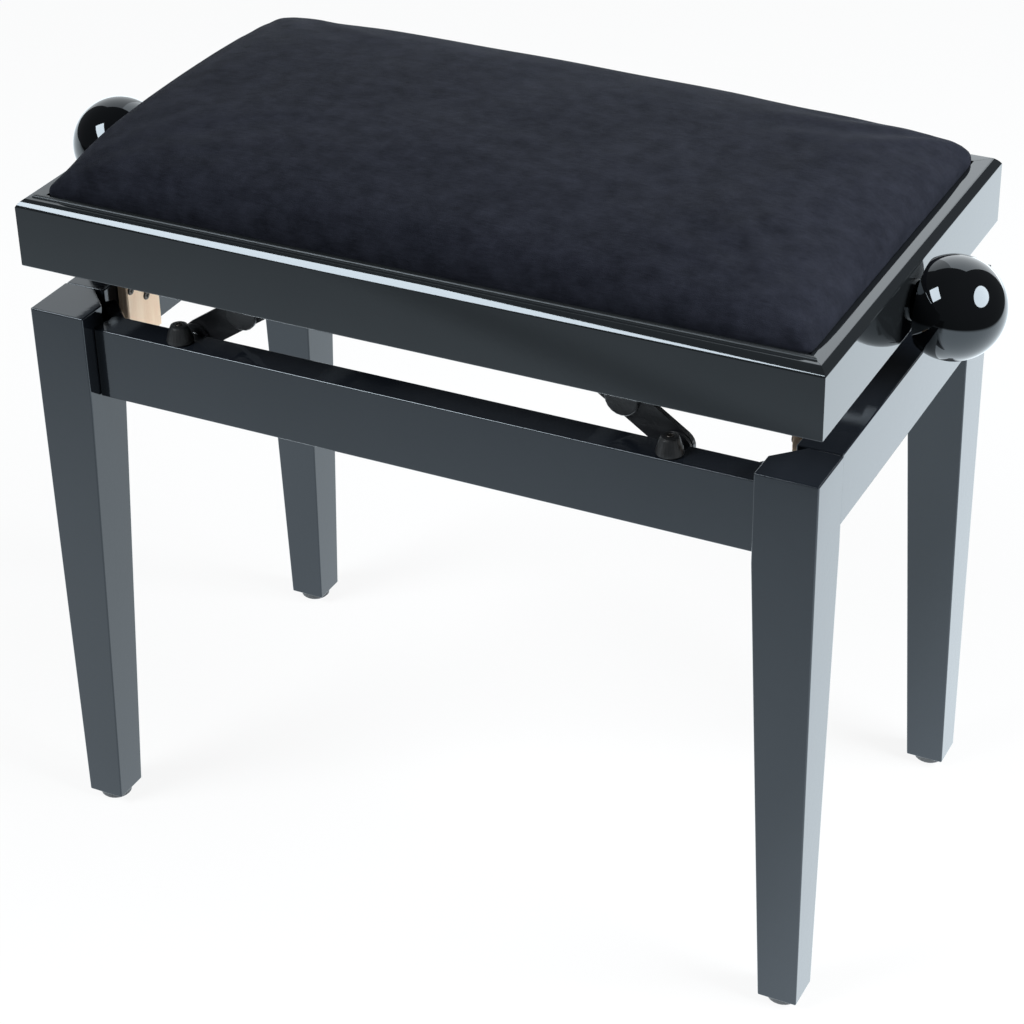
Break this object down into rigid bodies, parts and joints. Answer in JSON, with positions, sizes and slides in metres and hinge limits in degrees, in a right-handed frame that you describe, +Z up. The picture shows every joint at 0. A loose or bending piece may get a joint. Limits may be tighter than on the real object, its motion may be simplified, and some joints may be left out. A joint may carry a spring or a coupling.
{
  "type": "keyboard bench",
  "caption": "Rectangular keyboard bench: padded velvet seat in a gloss black frame, on tapered legs, raised and lowered by ball knobs on a screw spindle that works a linkage.",
  "frame": {"origin": "on the floor under the middle of the bench", "axes": "+X along the bench's length, +Y from its front to its back, +Z up"},
  "size_m": [0.672, 0.3216, 0.5116],
  "materials": {
    "black_lacquer": "gloss black lacquer",
    "raw_wood": "unfinished softwood",
    "plywood": "unfinished plywood",
    "black_velvet": "velvet pile",
    "black_steel": "satin black",
    "zinc_steel": "zinc plated",
    "knob_gloss": "gloss",
    "nylon": "moulded",
    "rubber": "moulded"
  },
  "bodies": {
    "base": {"apron_back": "black_lacquer", "apron_front": "black_lacquer", "apron_left": "black_lacquer", "apron_right": "black_lacquer", "block_back_left": "raw_wood", "block_back_right": "raw_wood", "block_front_left": "raw_wood", "block_front_right": "raw_wood", "brace_back_left": "black_lacquer", "brace_back_right": "black_lacquer", "brace_front_left": "black_lacquer", "brace_front_right": "black_lacquer", "buffer_back_left": "rubber", "buffer_back_right": "rubber", "buffer_front_left": "rubber", "buffer_front_right": "rubber", "glide_back_left": "nylon", "glide_back_right": "nylon", "glide_front_left": "nylon", "glide_front_right": "nylon", "leg_back_left": "black_lacquer", "leg_back_right": "black_lacquer", "leg_front_left": "black_lacquer", "leg_front_right": "black_lacquer", "pivot_pin_back_left": "black_steel", "pivot_pin_back_right": "black_steel", "pivot_pin_front_left": "black_steel", "pivot_pin_front_right": "black_steel", "pivot_plate_back_left": "black_steel", "pivot_plate_back_right": "black_steel", "pivot_plate_front_left": "black_steel", "pivot_plate_front_right": "black_steel"},
    "seat": {"cushion": "black_velvet", "seat_board": "plywood", "seat_plate_back_left": "black_steel", "seat_plate_back_right": "black_steel", "seat_plate_front_left": "black_steel", "seat_plate_front_right": "black_steel", "spindle_bush_left": "nylon", "spindle_bush_right": "nylon", "top_rail_back": "black_lacquer", "top_rail_front": "black_lacquer", "top_rail_left": "black_lacquer", "top_rail_right": "black_lacquer"},
    "spindle": {"spindle": "zinc_steel", "collar_left": "zinc_steel", "collar_right": "zinc_steel", "knob_left": "knob_gloss", "knob_right": "knob_gloss"},
    "arms_left": {"arm_back_left": "black_steel", "arm_front_left": "black_steel"},
    "links_left": {"link_back_left": "black_steel", "link_front_left": "black_steel"},
    "bar_left": {"screw_bar_left": "black_steel"},
    "arms_right": {"arm_back_right": "black_steel", "arm_front_right": "black_steel"},
    "links_right": {"link_back_right": "black_steel", "link_front_right": "black_steel"},
    "bar_right": {"screw_bar_right": "black_steel"}
  },
  "joints": [
    {"name": "seat_lift", "type": "slide", "parent": "base", "child": "seat", "axis": [0, 0, 1], "range_m": [-0.024, 0.026]},
    {"name": "spindle_turn", "type": "hinge", "parent": "seat", "child": "spindle", "pos_m": [0, 0, 0.4485], "axis": [1, 0, 0], "range_deg": [-1507.49, 1633.11]},
    {"name": "arm_swing_left", "type": "hinge", "parent": "base", "child": "arms_left", "pos_m": [-0.1715, 0, 0.3852], "axis": [0, 1, 0], "range_deg": [-21.14, 19.52]},
    {"name": "link_swing_left", "type": "hinge", "parent": "arms_left", "child": "links_left", "pos_m": [-0.13506, 0, 0.40987], "axis": [0, 1, 0], "range_deg": [-38.98, 42.22]},
    {"name": "bar_level_left", "type": "hinge", "parent": "arms_left", "child": "bar_left", "pos_m": [-0.09863, 0, 0.43454], "axis": [0, 1, 0], "range_deg": [-19.52, 21.14]},
    {"name": "arm_swing_right", "type": "hinge", "parent": "base", "child": "arms_right", "pos_m": [0.1715, 0, 0.3852], "axis": [0, 1, 0], "range_deg": [-19.52, 21.14]},
    {"name": "link_swing_right", "type": "hinge", "parent": "arms_right", "child": "links_right", "pos_m": [0.13506, 0, 0.40987], "axis": [0, 1, 0], "range_deg": [-42.22, 38.98]},
    {"name": "bar_level_right", "type": "hinge", "parent": "arms_right", "child": "bar_right", "pos_m": [0.09863, 0, 0.43454], "axis": [0, 1, 0], "range_deg": [-21.14, 19.52]}
  ],
  "couplings": [
    {"joint": "spindle_turn", "follows": "seat_lift", "rad_per_m": 1096.2},
    {"joint": "arm_swing_left", "follows": "seat_lift", "rad_per_m": -14.151},
    {"joint": "link_swing_left", "follows": "seat_lift", "rad_per_m": 28.301},
    {"joint": "bar_level_left", "follows": "seat_lift", "rad_per_m": 14.151},
    {"joint": "arm_swing_right", "follows": "seat_lift", "rad_per_m": 14.151},
    {"joint": "link_swing_right", "follows": "seat_lift", "rad_per_m": -28.301},
    {"joint": "bar_level_right", "follows": "seat_lift", "rad_per_m": -14.151}
  ]
}
